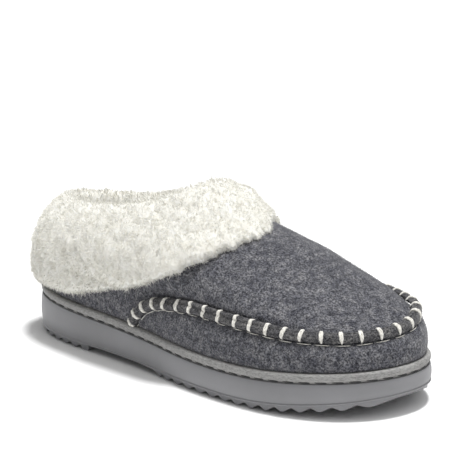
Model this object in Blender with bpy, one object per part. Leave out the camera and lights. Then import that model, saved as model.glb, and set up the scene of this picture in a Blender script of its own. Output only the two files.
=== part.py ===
"""Clog slipper for the right foot: ribbed outsole, wrapped midsole, hollow felt upper with a
raised toe seam, deep fleece cuff and insole. Metres, +X to the toe, +Y to the inner side of
the foot, +Z up, floor at zero, origin under the middle of the whole slipper."""

import math
import random

import bmesh
import bpy
from mathutils import Vector

MM = 0.001

# Last and sole
SOLE_LENGTH = 265 * MM
BALL_WIDTH = 101 * MM
HEEL_END_RADIUS = 31.4 * MM
TOE_END_RADIUS = 46 * MM
INNER_TOE_RADIUS = 35 * MM
PLATFORM_HEIGHT = 28 * MM
WELT_HEIGHT = 5.3 * MM
SIDE_BULGE = 0.6 * MM
EDGE_ROUND = 0.7 * MM
TOE_SPRING = 8.2 * MM
SPRING_START = 0.68
SPRING_CURVE = 1.7

# Tread, from the heel forwards
TREAD_DEPTH = 3.5 * MM
TREAD_INSET = 0.8 * MM
TOOTH_DEPTH = 2.3 * MM
TOOTH_LAND = 1.4 * MM
TOOTH_FACE = 0.42
HEEL_TREAD_START = 3 * MM
HEEL_PITCH = 8.6 * MM
HEEL_TEETH = 7
FORE_TREAD_START = 127 * MM
FORE_PITCH = 9.6 * MM
FORE_TEETH = 14
ARCH_HEIGHT = 4.1 * MM
ARCH_SLOPE = 16 * MM
ARCH_BEND = 0.6
TREAD_END = 20 * MM

# Upper
WALL = 2.6 * MM
FEATHER_INSET = 2.2 * MM
TOE_SEAM_INSET = 7.5 * MM
TOE_WALL_HEIGHT = 17.5 * MM
COLLAR_BACK = 10 * MM
COLLAR_FRONT = 129 * MM
COLLAR_WIDTH = 57 * MM
HEEL_HEIGHT = 66.5 * MM
INSTEP_HEIGHT = 88 * MM
INSTEP_CURVE = 2.0
LEAN_START = 0.38
LEAN_FADE = 0.2
CROWN_SIDE = 5 * MM
CROWN_END = 1.5 * MM

# Toe seam, cuff and insole
SEAM_WIDTH = 6.4 * MM
SEAM_RAISE = 3.2 * MM
SEAM_END = 0.8 * MM
CUFF_THICKNESS = 8.2 * MM
CUFF_TOP = 11.8 * MM
CUFF_LINING = 5 * MM
CUFF_INSIDE = 20 * MM
CUFF_REACH = 0.9
ROLL_ANGLES = (30, 60, 90, 120, 150)
LINING_STEPS = 3
LOCK_RADIUS = 6.75 * MM
LOCK_RAISE = 2.2 * MM
LOCK_ROWS = 6
LOCK_COLUMNS = 40
LOCK_SCATTER = 0.3
INSOLE_THICKNESS = 6 * MM
INSOLE_ROUND = 1.5 * MM
FIT_GAP = 0.3 * MM
CURVE_GAP = 0.45 * MM

# Columns: station along the sole, outer half width, inner half width, as shares of BALL_WIDTH
SOLE_PLAN = [
    (0.12, 0.342, 0.317),
    (0.28, 0.390, 0.327),
    (0.42, 0.431, 0.328),
    (0.56, 0.498, 0.381),
    (0.68, 0.526, 0.476),
    (0.80, 0.513, 0.472),
    (0.90, 0.421, 0.362),
]

# Columns: station along the sole, top of the midsole as a share of PLATFORM_HEIGHT
PLATFORM = [(0.0, 1.0), (0.35, 0.838), (0.68, 0.755), (1.0, 0.935)]

# Columns: level up the upper, share of the way from the feather line's inset to the toe seam's,
# inset at the heel as a share of FEATHER_INSET, rise as a share of the toe wall
SEAM_LEVEL = 0.36
SIDE_WALL = [
    (0.00, 0.00, 1.00, 0.00),
    (0.06, -0.12, 0.80, 0.20),
    (0.14, -0.08, 0.70, 0.45),
    (0.22, 0.16, 0.75, 0.68),
    (0.29, 0.50, 0.95, 0.85),
    (SEAM_LEVEL, 1.00, 1.30, 1.00),
]

# Columns: share of the way round from the heel, over the outer side, the toe and the inner side,
# height of the toe seam's line as a share of TOE_WALL_HEIGHT
SEAM_HEIGHT = [
    (0.00, 1.00), (0.12, 1.10), (0.20, 1.22), (0.25, 1.26), (0.29, 1.25), (0.33, 1.17),
    (0.37, 1.03), (0.42, 0.94), (0.46, 0.96), (0.50, 1.03), (0.55, 1.22), (0.60, 1.32),
    (0.70, 1.34), (0.80, 1.25), (0.90, 1.10), (1.00, 1.00),
]

# Columns: share of the way round in the same order, level of the cuff's lower edge
CUFF_EDGE = [
    (0.00, 0.07), (0.06, 0.08), (0.11, 0.10), (0.15, 0.14), (0.18, 0.23), (0.20, 0.33),
    (0.24, 0.49), (0.28, 0.60), (0.32, 0.68), (0.36, 0.74), (0.41, 0.793), (0.46, 0.82),
    (0.50, 0.834), (0.54, 0.852), (0.58, 0.862), (0.62, 0.845), (0.66, 0.79), (0.70, 0.70),
    (0.74, 0.585), (0.78, 0.43), (0.82, 0.27), (0.86, 0.165), (0.90, 0.11), (1.00, 0.07),
]

# Columns: share of the way from the cuff's lower edge to the collar, thickness, lock height,
# both as shares of the cuff's own sizes
CUFF_PROFILE = [
    (-0.03, 0.30, 0.0), (-0.02, 0.70, 0.3), (0.07, 0.93, 0.7), (0.21, 1.01, 1.0),
    (0.37, 1.04, 1.0), (0.53, 1.04, 1.0), (0.69, 1.03, 1.0), (0.85, 1.01, 1.0),
    (1.00, 1.00, 1.0),
]

# Columns: share of the way round in the same order, height of the roll on top as a share of
# CUFF_TOP, thickness of the lower lip and of the top as shares of the fleece's own
LIP_REACH = 0.6
CUFF_FORM = [
    (0.00, 1.00, 1.00, 1.00), (0.08, 1.30, 1.00, 1.00), (0.22, 1.60, 1.00, 1.00),
    (0.34, 1.50, 0.95, 1.05), (0.42, 1.50, 0.65, 1.25), (0.50, 1.55, 0.45, 1.40),
    (0.58, 1.55, 0.60, 1.40), (0.68, 1.30, 0.95, 1.15), (0.80, 1.10, 1.00, 1.00),
    (0.90, 1.15, 1.00, 1.00), (1.00, 1.00, 1.00, 1.00),
]

# Columns: station along the slipper, level of the toe seam on the upper, from its rear end
SEAM_PATH = [
    (0.376, 0.0), (0.392, 0.08), (0.42, 0.18), (0.46, 0.262),
    (0.51, 0.312), (0.58, 0.352), (0.64, SEAM_LEVEL), (1.0, SEAM_LEVEL),
]

AROUND = 76
VAMP_STEPS = 5
SEAM_STEPS = 70
HALF_LAST = SOLE_LENGTH / 2


def curve_through(rows, column=1):
    """A smooth function through a table's rows, with slopes set by the neighbouring rows."""
    xs = [row[0] for row in rows]
    ys = [row[column] for row in rows]
    last = len(xs) - 1
    slopes = []
    for i in range(len(xs)):
        low, high = max(i - 1, 0), min(i + 1, last)
        slopes.append((ys[high] - ys[low]) / (xs[high] - xs[low]))

    def value(x):
        if x <= xs[0]:
            return ys[0] + slopes[0] * (x - xs[0])
        if x >= xs[last]:
            return ys[last] + slopes[last] * (x - xs[last])
        i = max(k for k in range(last) if xs[k] <= x)
        span = xs[i + 1] - xs[i]
        f = (x - xs[i]) / span
        rise = f * f * (3 - 2 * f)
        start = f * (1 - f) ** 2 * span
        end = f * f * (f - 1) * span
        return ys[i] * (1 - rise) + ys[i + 1] * rise + slopes[i] * start + slopes[i + 1] * end

    return value


def fullness(column, end_radius_heel, end_radius_toe):
    """Half width of the sole over that of an ellipse, so that both ends close round."""
    rows = [(0.0, math.sqrt(end_radius_heel * HALF_LAST))]
    for row in SOLE_PLAN:
        station = row[0]
        rows.append((station, row[column] * BALL_WIDTH / (2 * math.sqrt(station * (1 - station)))))
    rows.append((1.0, math.sqrt(end_radius_toe * HALF_LAST)))
    return curve_through(rows)


OUTER_FULLNESS = fullness(1, HEEL_END_RADIUS, TOE_END_RADIUS)
INNER_FULLNESS = fullness(2, HEEL_END_RADIUS, INNER_TOE_RADIUS)
PLATFORM_SHARE = curve_through(PLATFORM)
WALL_LEAN = curve_through(SIDE_WALL, 1)
HEEL_LEAN = curve_through(SIDE_WALL, 2)
WALL_RISE = curve_through(SIDE_WALL, 3)
SEAM_RISE = curve_through(SEAM_HEIGHT)
CUFF_LEVEL = curve_through(CUFF_EDGE)
ROLL_HEIGHT = curve_through(CUFF_FORM, 1)
LIP_FULLNESS = curve_through(CUFF_FORM, 2)
TOP_FULLNESS = curve_through(CUFF_FORM, 3)


def platform(x):
    return PLATFORM_HEIGHT * PLATFORM_SHARE(x / SOLE_LENGTH)


def spring(x):
    share = (x / SOLE_LENGTH - SPRING_START) / (1 - SPRING_START)
    return TOE_SPRING * max(share, 0.0) ** SPRING_CURVE


def station_of(turn):
    """Turn 0 is the back of the heel, pi the toe, and the outer side lies between them."""
    return (1 - math.cos(turn)) / 2


def sole_edge(turn, inset=0.0):
    """A point of the sole's outline, moved in by inset along the outline's own normal."""

    def on_edge(angle):
        station = station_of(angle)
        full = OUTER_FULLNESS if math.sin(angle) >= 0 else INNER_FULLNESS
        return Vector((station * SOLE_LENGTH, -math.sin(angle) * full(station), 0.0))

    step = 0.01
    along = (on_edge(turn + step) - on_edge(turn - step)).normalized()
    inward = Vector((-along.y, along.x, 0.0))
    return on_edge(turn) + inward * inset


def way_round(turn):
    return turn / (2 * math.pi) % 1.0


def side_wall(turn, level):
    ahead = min(max((station_of(turn) - LEAN_START) / LEAN_FADE, 0.0), 1.0)
    ahead *= ahead * (3 - 2 * ahead)
    toe_inset = FEATHER_INSET + (TOE_SEAM_INSET - FEATHER_INSET) * WALL_LEAN(level)
    heel_inset = FEATHER_INSET * HEEL_LEAN(level)
    point = sole_edge(turn, heel_inset + (toe_inset - heel_inset) * ahead)
    lift = FIT_GAP + TOE_WALL_HEIGHT * SEAM_RISE(way_round(turn)) * WALL_RISE(level)
    return Vector((point.x, point.y, platform(point.x) + lift))


def collar(turn):
    station = station_of(turn)
    x = COLLAR_BACK + (COLLAR_FRONT - COLLAR_BACK) * station
    z = HEEL_HEIGHT + (INSTEP_HEIGHT - HEEL_HEIGHT) * station ** INSTEP_CURVE
    return Vector((x, -math.sin(turn) * COLLAR_WIDTH / 2, z))


def upper_surface(turn, level):
    """Outer face of the upper: side wall up to the seam's level, then vamp and quarters."""
    if level <= SEAM_LEVEL:
        return side_wall(turn, level)
    share = (level - SEAM_LEVEL) / (1 - SEAM_LEVEL)
    low, high = side_wall(turn, SEAM_LEVEL), collar(turn)
    ahead = side_wall(turn + 0.02, SEAM_LEVEL) - side_wall(turn - 0.02, SEAM_LEVEL)
    out = ahead.cross(high - low).normalized()
    crown = CROWN_END + CROWN_SIDE * math.sin(turn) ** 2
    return low.lerp(high, share) + out * crown * 4 * share * (1 - share)


def upper_normal(turn, level, step_level=0.02):
    step_turn = 0.01
    around = upper_surface(turn + step_turn, level) - upper_surface(turn - step_turn, level)
    low, high = max(level - step_level, 0.0), min(level + step_level, 1.0)
    rise = upper_surface(turn, high) - upper_surface(turn, low)
    return around.cross(rise).normalized()


def new_object(name, points, faces, color, roughness, collection):
    mesh = bpy.data.meshes.new(name)
    mesh.from_pydata([tuple(point) for point in points], [], faces)
    shell = bmesh.new()
    shell.from_mesh(mesh)
    bmesh.ops.recalc_face_normals(shell, faces=shell.faces)
    shell.to_mesh(mesh)
    shell.free()
    material = bpy.data.materials.new(name)
    material.use_nodes = True
    finish = material.node_tree.nodes["Principled BSDF"]
    finish.inputs["Base Color"].default_value = (*color, 1.0)
    finish.inputs["Roughness"].default_value = roughness
    mesh.materials.append(material)
    mesh.shade_smooth()
    mesh.set_sharp_from_angle(angle=math.radians(40))
    thing = bpy.data.objects.new(name, mesh)
    collection.objects.link(thing)
    return thing


def bridge(sections, closed):
    """Quads between neighbouring closed sections, joined end to start when closed."""
    count = len(sections[0])
    faces = []
    for i in range(len(sections) if closed else len(sections) - 1):
        here, there = i * count, (i + 1) % len(sections) * count
        for j in range(count):
            k = (j + 1) % count
            faces.append((here + j, here + k, there + k, there + j))
    return faces


def strip_cap(first, count):
    """Flat strips straight across a ring, from its outer side to its inner side."""
    faces = [(first, first + 1, first + count - 1)]
    for i in range(1, count // 2 - 1):
        faces.append((first + i, first + i + 1, first + count - i - 1, first + count - i))
    faces.append((first + count // 2 - 1, first + count // 2, first + count // 2 + 1))
    return faces


def slab(name, rings, color, roughness, collection):
    """A solid from stacked rings, each a function that gives a point for a turn."""
    sections = []
    for ring in rings:
        sections.append([ring(2 * math.pi * i / AROUND) for i in range(AROUND)])
    points = [point for section in sections for point in section]
    faces = bridge(sections, closed=False)
    faces += strip_cap(0, AROUND)
    faces += strip_cap((len(sections) - 1) * AROUND, AROUND)
    return new_object(name, points, faces, color, roughness, collection)


def edge_ring(inset, height):
    def ring(turn):
        point = sole_edge(turn, inset)
        return Vector((point.x, point.y, height(point.x)))

    return ring


def outsole_top(x):
    return platform(x) - WELT_HEIGHT


def tread_profile():
    """The sole's lower line in side view, from behind the heel to beyond the toe."""
    line = [(-TREAD_END, TOOTH_DEPTH), (HEEL_TREAD_START, TOOTH_DEPTH)]

    def add_teeth(start, pitch, count):
        for i in range(count):
            root = start + i * pitch
            tip = root + TOOTH_FACE * pitch
            line.append((tip, spring(tip)))
            line.append((tip + TOOTH_LAND, spring(tip + TOOTH_LAND)))
            line.append((root + pitch, spring(root + pitch) + TOOTH_DEPTH))

    add_teeth(HEEL_TREAD_START, HEEL_PITCH, HEEL_TEETH)
    heel_end = HEEL_TREAD_START + HEEL_TEETH * HEEL_PITCH
    line[-1] = (heel_end - TOOTH_LAND, 0.0)
    line.append((heel_end, ARCH_HEIGHT))
    line.append((FORE_TREAD_START - ARCH_SLOPE, ARCH_HEIGHT))
    line.append((FORE_TREAD_START - ARCH_SLOPE / 2, ARCH_HEIGHT * ARCH_BEND))
    line.append((FORE_TREAD_START - TOOTH_LAND, 0.0))
    line.append((FORE_TREAD_START, TOOTH_DEPTH))
    add_teeth(FORE_TREAD_START, FORE_PITCH, FORE_TEETH)
    fore_end = FORE_TREAD_START + FORE_TEETH * FORE_PITCH
    line.append((max(fore_end, SOLE_LENGTH) + TREAD_END, spring(fore_end) + TREAD_DEPTH))
    return line


def make_outsole(collection, cutters):
    def below_tread(x):
        return spring(x) - TREAD_DEPTH

    def ledge(x):
        return spring(x) + TREAD_DEPTH

    def middle(x):
        return (ledge(x) + outsole_top(x)) / 2

    def shoulder(x):
        return outsole_top(x) - EDGE_ROUND

    rings = [
        edge_ring(TREAD_INSET, below_tread),
        edge_ring(TREAD_INSET, ledge),
        edge_ring(0.0, ledge),
        edge_ring(-SIDE_BULGE, middle),
        edge_ring(0.0, shoulder),
        edge_ring(EDGE_ROUND, outsole_top),
    ]
    sole = slab("outsole", rings, (0.21, 0.21, 0.225), 0.55, collection)

    line = tread_profile()
    deep = -4 * TREAD_DEPTH
    outline = line + [(line[-1][0], deep), (line[0][0], deep)]
    points = []
    for y in (-BALL_WIDTH, BALL_WIDTH):
        points += [(x, y, z) for x, z in outline]
    count = len(outline)
    faces = bridge([outline, outline], closed=False)
    faces += [tuple(range(count)), tuple(range(2 * count - 1, count - 1, -1))]
    ground = new_object("tread_cutter", points, faces, (1.0, 0.0, 0.0), 0.5, cutters)
    ground.hide_render = True
    ground.display_type = "WIRE"
    cut = sole.modifiers.new("tread", "BOOLEAN")
    cut.operation = "DIFFERENCE"
    cut.solver = "EXACT"
    cut.object = ground


def make_midsole(collection):
    def bottom(x):
        return outsole_top(x) + FIT_GAP

    def lower(x):
        return bottom(x) + EDGE_ROUND

    def shoulder(x):
        return platform(x) - 1.5 * EDGE_ROUND

    rings = [
        edge_ring(EDGE_ROUND, bottom),
        edge_ring(0.0, lower),
        edge_ring(0.0, shoulder),
        edge_ring(EDGE_ROUND, platform),
    ]
    slab("midsole", rings, (0.27, 0.265, 0.255), 0.75, collection)


def make_insole(collection):
    inset = FEATHER_INSET + WALL + 2 * FIT_GAP

    def bottom(x):
        return platform(x) + FIT_GAP

    def shoulder(x):
        return bottom(x) + INSOLE_THICKNESS - INSOLE_ROUND

    def top(x):
        return bottom(x) + INSOLE_THICKNESS

    rings = [
        edge_ring(inset, bottom),
        edge_ring(inset, shoulder),
        edge_ring(inset + INSOLE_ROUND, top),
    ]
    slab("insole", rings, (0.80, 0.78, 0.72), 0.9, collection)


def make_upper(collection):
    levels = [row[0] for row in SIDE_WALL]
    for i in range(1, VAMP_STEPS + 1):
        levels.append(SEAM_LEVEL + (1 - SEAM_LEVEL) * i / VAMP_STEPS)
    sections = []
    for i in range(AROUND):
        turn = 2 * math.pi * i / AROUND
        outside = [upper_surface(turn, level) for level in levels]
        inside = [
            upper_surface(turn, level) - upper_normal(turn, level) * WALL for level in levels
        ]
        sections.append(outside + inside[::-1])
    points = [point for section in sections for point in section]
    faces = bridge(sections, closed=True)
    new_object("upper", points, faces, (0.17, 0.17, 0.185), 0.95, collection)


def seam_route(share):
    """Turn and level of the toe seam, from the outer rear end to the inner rear end."""
    level_at = curve_through(SEAM_PATH)
    start = SEAM_PATH[0][0]
    first_turn = math.acos(1 - 2 * start)
    turn = first_turn + (2 * math.pi - 2 * first_turn) * share
    return turn, min(max(level_at(station_of(turn)), 0.0), SEAM_LEVEL)


def make_toe_seam(collection):
    """A raised roll with a D section, bent over the upper's own surface."""
    fine = 4 * SEAM_STEPS
    route = [seam_route(i / fine) for i in range(fine + 1)]
    lengths = [0.0]
    for i in range(fine):
        gap = upper_surface(*route[i + 1]) - upper_surface(*route[i])
        lengths.append(lengths[-1] + gap.length)

    def at_length(length):
        i = max(k for k in range(fine) if lengths[k] <= length + 1e-9)
        share = (length - lengths[i]) / (lengths[i + 1] - lengths[i])
        turn = route[i][0] + (route[i + 1][0] - route[i][0]) * share
        level = route[i][1] + (route[i + 1][1] - route[i][1]) * share
        return turn, level

    across = [-1.0, -0.5, 0.0, 0.5, 1.0]
    arch = [0.97, 0.75, 0.4, 0.0, -0.4, -0.75, -0.97]
    first, last = SEAM_END, lengths[-1] - SEAM_END
    sections = []
    for i in range(SEAM_STEPS + 1):
        here = first + (last - first) * i / SEAM_STEPS
        turn, level = at_length(here)
        before, after = at_length(max(here - MM, 0.0)), at_length(min(here + MM, lengths[-1]))
        along = (upper_surface(*after) - upper_surface(*before)).normalized()
        normal = upper_normal(turn, level)
        side = normal.cross(along).normalized()

        def beside(offset):
            """The place on the upper's surface that lies offset to the side of the route."""
            step = 0.01
            by_turn = (upper_surface(turn + step, level) - upper_surface(turn - step, level)) / (2 * step)
            low, high = max(level - step, 0.0), min(level + step, 1.0)
            by_level = (upper_surface(turn, high) - upper_surface(turn, low)) / (high - low)
            aim = side * offset
            a, b, c = by_turn.dot(by_turn), by_turn.dot(by_level), by_level.dot(by_level)
            p, q = aim.dot(by_turn), aim.dot(by_level)
            size = a * c - b * b
            return turn + (p * c - q * b) / size, max(level + (q * a - p * b) / size, 0.0)

        section = []
        for share in across:
            place = beside(share * SEAM_WIDTH / 2)
            section.append(upper_surface(*place) + upper_normal(*place) * CURVE_GAP)
        for share in arch:
            place = beside(share * SEAM_WIDTH / 2)
            raised = SEAM_RAISE * math.sqrt(1 - share * share)
            base = upper_surface(*place) + upper_normal(*place) * CURVE_GAP
            section.append(base + normal * raised)
        sections.append(section)
    count = len(sections[0])
    points = [point for section in sections for point in section]
    faces = bridge(sections, closed=False)
    faces += [tuple(range(count)), tuple(range(len(points) - 1, len(points) - count - 1, -1))]
    new_object("toe_seam", points, faces, (0.15, 0.15, 0.165), 0.95, collection)


def lock_height(place, locks):
    """How far the nearest curled lock lifts the fleece at a place, in metres, up or down."""
    nearest = min((place - lock).length for lock in locks)
    return LOCK_RAISE * (max(1 - (nearest / LOCK_RADIUS) ** 2, 0.0) - 0.5)


def cuff_outside(turn, share):
    """A place on the upper under the cuff, and the way out, smoothed over the wall's bend."""
    edge = CUFF_LEVEL(way_round(turn))
    level = edge + (1 - edge) * share
    return upper_surface(turn, level), upper_normal(turn, level, 0.12)


def slot_levels(turn):
    """Levels from the collar down to the cuff's edge, with one on the upper's bend."""
    edge = CUFF_LEVEL(way_round(turn))
    bend = max(edge + 0.04, SEAM_LEVEL)
    above = [1 + (bend - 1) * i / VAMP_STEPS for i in range(VAMP_STEPS)]
    below = [bend + (edge - bend) * i / 3 for i in range(4)]
    return above + below


def make_cuff(collection):
    """Fleece folded over the collar: outer band, roll on top and a short leg inside."""
    pattern = random.Random(7)
    locks = []
    for row in range(LOCK_ROWS):
        for column in range(LOCK_COLUMNS):
            shift = 0.5 * (row % 2) + pattern.uniform(-LOCK_SCATTER, LOCK_SCATTER)
            turn = 2 * math.pi * (column + shift) / LOCK_COLUMNS
            share = (row + 0.5 + pattern.uniform(-LOCK_SCATTER, LOCK_SCATTER)) / LOCK_ROWS
            surface, normal = cuff_outside(turn, share)
            locks.append(surface + normal * CUFF_THICKNESS)

    sections = []
    for i in range(AROUND):
        turn = 2 * math.pi * i / AROUND
        top, top_normal = upper_surface(turn, 1.0), upper_normal(turn, 1.0)
        rise = (top - upper_surface(turn, 0.95)).normalized()
        lip = LIP_FULLNESS(way_round(turn))
        crown = TOP_FULLNESS(way_round(turn))
        roll = CUFF_TOP * ROLL_HEIGHT(way_round(turn))
        section = []
        for share, thick, fleece in CUFF_PROFILE:
            surface, normal = cuff_outside(turn, share)
            full = lip + (crown - lip) * min(max(share / LIP_REACH, 0.0), 1.0)
            place = surface + normal * (FIT_GAP + CUFF_THICKNESS * thick * full)
            place += normal * fleece * lock_height(place, locks)
            section.append(place)

        outer_reach = CUFF_THICKNESS * crown + FIT_GAP + WALL / 2
        inner_reach = CUFF_LINING + FIT_GAP + WALL / 2
        middle = top - top_normal * WALL / 2
        for angle in ROLL_ANGLES:
            reach = outer_reach if angle <= 90 else inner_reach
            across = math.cos(math.radians(angle))
            up = math.sin(math.radians(angle))
            place = middle + top_normal * across * reach + rise * up * roll
            place += top_normal * max(across, 0.0) * lock_height(place, locks)
            section.append(place)

        height = (top - upper_surface(turn, SEAM_LEVEL)).length
        inside = 1 - (1 - SEAM_LEVEL) * min(CUFF_INSIDE / height, CUFF_REACH)
        inner_levels = [1 + (inside - 1) * i / LINING_STEPS for i in range(LINING_STEPS + 1)]
        for level in inner_levels:
            depth = WALL + FIT_GAP + CUFF_LINING
            section.append(upper_surface(turn, level) - upper_normal(turn, level) * depth)
        for level in inner_levels[::-1]:
            depth = WALL + CURVE_GAP
            section.append(upper_surface(turn, level) - upper_normal(turn, level) * depth)
        section[-1] += rise * CURVE_GAP
        slot = slot_levels(turn)
        for level in slot:
            section.append(upper_surface(turn, level) + upper_normal(turn, level) * CURVE_GAP)
        section[-len(slot)] += rise * CURVE_GAP
        sections.append(section)
    points = [point for section in sections for point in section]
    faces = bridge(sections, closed=True)
    new_object("cuff", points, faces, (0.83, 0.82, 0.78), 0.95, collection)


def centre_over_origin(things):
    """Moves every solid so that the origin lies under the middle of the whole slipper."""
    bpy.context.view_layer.update()
    corners = []
    for thing in things:
        corners += [thing.matrix_world @ Vector(corner) for corner in thing.bound_box]
    middle_x = (min(c.x for c in corners) + max(c.x for c in corners)) / 2
    middle_y = (min(c.y for c in corners) + max(c.y for c in corners)) / 2
    for thing in bpy.data.objects:
        thing.location -= Vector((middle_x, middle_y, 0.0))


def build():
    for thing in list(bpy.data.objects):
        bpy.data.objects.remove(thing)
    slipper = bpy.data.collections.new("clog_slipper")
    cutters = bpy.data.collections.new("cutters")
    bpy.context.scene.collection.children.link(slipper)
    bpy.context.scene.collection.children.link(cutters)
    make_outsole(slipper, cutters)
    make_midsole(slipper)
    make_insole(slipper)
    make_upper(slipper)
    make_toe_seam(slipper)
    make_cuff(slipper)
    centre_over_origin(slipper.objects)


build()
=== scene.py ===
"""Clog slipper for the right foot: ribbed rubber sole, wrapped midsole band, heathered felt upper
with a whip-stitched toe seam, and a deep curly fleece cuff, lining and footbed."""

import math

import bpy
import numpy as np
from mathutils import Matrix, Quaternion, Vector, noise


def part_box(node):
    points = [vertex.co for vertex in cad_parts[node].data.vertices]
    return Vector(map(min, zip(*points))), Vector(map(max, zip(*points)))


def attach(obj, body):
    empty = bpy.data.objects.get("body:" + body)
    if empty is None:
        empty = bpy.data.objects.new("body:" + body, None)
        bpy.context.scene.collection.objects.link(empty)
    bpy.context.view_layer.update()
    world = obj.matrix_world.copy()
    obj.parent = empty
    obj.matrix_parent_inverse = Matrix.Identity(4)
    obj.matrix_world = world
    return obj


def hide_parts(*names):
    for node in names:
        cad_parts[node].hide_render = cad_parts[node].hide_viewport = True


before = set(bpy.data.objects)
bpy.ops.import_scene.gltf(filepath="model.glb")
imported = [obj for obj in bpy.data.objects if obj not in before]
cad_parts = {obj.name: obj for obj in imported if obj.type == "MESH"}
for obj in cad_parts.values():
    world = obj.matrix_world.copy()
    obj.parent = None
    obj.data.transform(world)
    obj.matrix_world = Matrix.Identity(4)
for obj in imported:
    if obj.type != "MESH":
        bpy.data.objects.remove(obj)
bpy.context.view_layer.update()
bpy.ops.object.select_all(action="DESELECT")

# Outsole: one block of satin grey rubber, moulded with a smooth side wall, a lip under it and saw
# teeth across heel and forefoot, with a plain arch between. It is glued under the midsole band.
MM = 0.001
SOLE_LENGTH = 265 * MM
BALL_WIDTH = 101 * MM
HEEL_END_RADIUS = 31.4 * MM
OUTER_TOE_RADIUS = 46 * MM
INNER_TOE_RADIUS = 35 * MM
PLATFORM_HEIGHT = 28 * MM
WELT_HEIGHT = 5.3 * MM
SIDE_BULGE = 0.6 * MM
TOE_SPRING = 8.2 * MM
SPRING_START = 0.68
SPRING_CURVE = 1.7
TREAD_DEPTH = 3.5 * MM
TREAD_INSET = 1.5 * MM
TOOTH_DEPTH = 2.3 * MM
TOOTH_LAND = 1.4 * MM
TOOTH_FACE = 0.42
TIP_ROUND = 0.7 * MM
HEEL_TREAD_START = 3 * MM
HEEL_PITCH = 8.6 * MM
HEEL_TEETH = 7
FORE_TREAD_START = 127 * MM
FORE_PITCH = 9.6 * MM
FORE_TEETH = 14
ARCH_HEIGHT = 4.1 * MM
ARCH_SLOPE = 16 * MM
SOLE_AROUND = 304

# Columns: station along the sole, outer half width, inner half width, as shares of BALL_WIDTH
SOLE_PLAN = [
    (0.12, 0.342, 0.317),
    (0.28, 0.390, 0.327),
    (0.42, 0.431, 0.328),
    (0.56, 0.498, 0.381),
    (0.68, 0.526, 0.476),
    (0.80, 0.513, 0.472),
    (0.90, 0.421, 0.362),
]

# Columns: station along the sole, top of the midsole band as a share of PLATFORM_HEIGHT
PLATFORM = [(0.0, 1.0), (0.35, 0.838), (0.68, 0.755), (1.0, 0.935)]

# Columns: inset of the outsole's side wall, and height above the lip as a share of the wall
WALL_PROFILE = [
    (0.30 * MM, 0.000), (-0.30 * MM, 0.010), (-0.45 * MM, 0.040), (-0.30 * MM, 0.075),
    (0.02 * MM, 0.100), (0.0, 0.130), (-0.25 * MM, 0.22), (-0.50 * MM, 0.36),
    (-SIDE_BULGE, 0.52), (-0.50 * MM, 0.68), (-0.28 * MM, 0.84), (0.0, 0.945), (0.22 * MM, 0.985),
    (0.70 * MM, 1.000),
]


def smooth_through(rows, column=1):
    """A smooth function through a table's rows, with slopes set by the neighbouring rows."""
    xs = np.array([row[0] for row in rows])
    ys = np.array([row[column] for row in rows])
    last = len(xs) - 1
    low = np.maximum(np.arange(last + 1) - 1, 0)
    high = np.minimum(np.arange(last + 1) + 1, last)
    slopes = (ys[high] - ys[low]) / (xs[high] - xs[low])

    def value(x):
        i = np.clip(np.searchsorted(xs, x, side="right") - 1, 0, last - 1)
        span = xs[i + 1] - xs[i]
        f = np.clip((x - xs[i]) / span, 0, 1)
        rise = f * f * (3 - 2 * f)
        inside = ys[i] * (1 - rise) + ys[i + 1] * rise
        inside = inside + slopes[i] * f * (1 - f) ** 2 * span
        inside = inside + slopes[i + 1] * f * f * (f - 1) * span
        before = slopes[0] * np.minimum(x - xs[0], 0)
        after = slopes[last] * np.maximum(x - xs[last], 0)
        return inside + before + after

    return value


def fullness(column, toe_radius):
    """Half width of the sole over that of an ellipse, so that both ends close round."""
    rows = [(0.0, math.sqrt(HEEL_END_RADIUS * SOLE_LENGTH / 2))]
    for row in SOLE_PLAN:
        station = row[0]
        rows.append((station, row[column] * BALL_WIDTH / (2 * math.sqrt(station * (1 - station)))))
    rows.append((1.0, math.sqrt(toe_radius * SOLE_LENGTH / 2)))
    return smooth_through(rows)


outer_fullness = fullness(1, OUTER_TOE_RADIUS)
inner_fullness = fullness(2, INNER_TOE_RADIUS)
platform_share = smooth_through(PLATFORM)


def platform(x):
    return PLATFORM_HEIGHT * platform_share(x / SOLE_LENGTH)


def spring(x):
    share = (x / SOLE_LENGTH - SPRING_START) / (1 - SPRING_START)
    return TOE_SPRING * np.maximum(share, 0.0) ** SPRING_CURVE


def station_of(turn):
    """Turn 0 is the back of the heel, pi the toe, and the outer side lies between them."""
    return (1 - np.cos(turn)) / 2


def plan_point(turn):
    station = station_of(turn)
    full = np.where(np.sin(turn) >= 0, outer_fullness(station), inner_fullness(station))
    return np.stack([station * SOLE_LENGTH, -np.sin(turn) * full, 0 * station], axis=-1)


def unit(vectors):
    return vectors / np.linalg.norm(vectors, axis=-1, keepdims=True)


def sole_edge(turn, inset=0.0):
    """Points of the sole's outline, moved in by inset along the outline's own normal."""
    step = 0.01
    along = unit(plan_point(turn + step) - plan_point(turn - step))
    inward = np.stack([-along[..., 1], along[..., 0], along[..., 2]], axis=-1)
    return plan_point(turn) + inward * np.asarray(inset)[..., None]


all_turns = np.linspace(0, 2 * math.pi, 721)
midsole_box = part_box("midsole")
PLACE = np.array([
    midsole_box[0][0],
    midsole_box[1][1] - sole_edge(all_turns)[:, 1].max(),
    0.0,
])


def choose(*pieces):
    """Selects the pieces alone and makes the first one active."""
    bpy.ops.object.select_all(action="DESELECT")
    for piece in pieces:
        piece.select_set(True)
    bpy.context.view_layer.objects.active = pieces[0]


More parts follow.
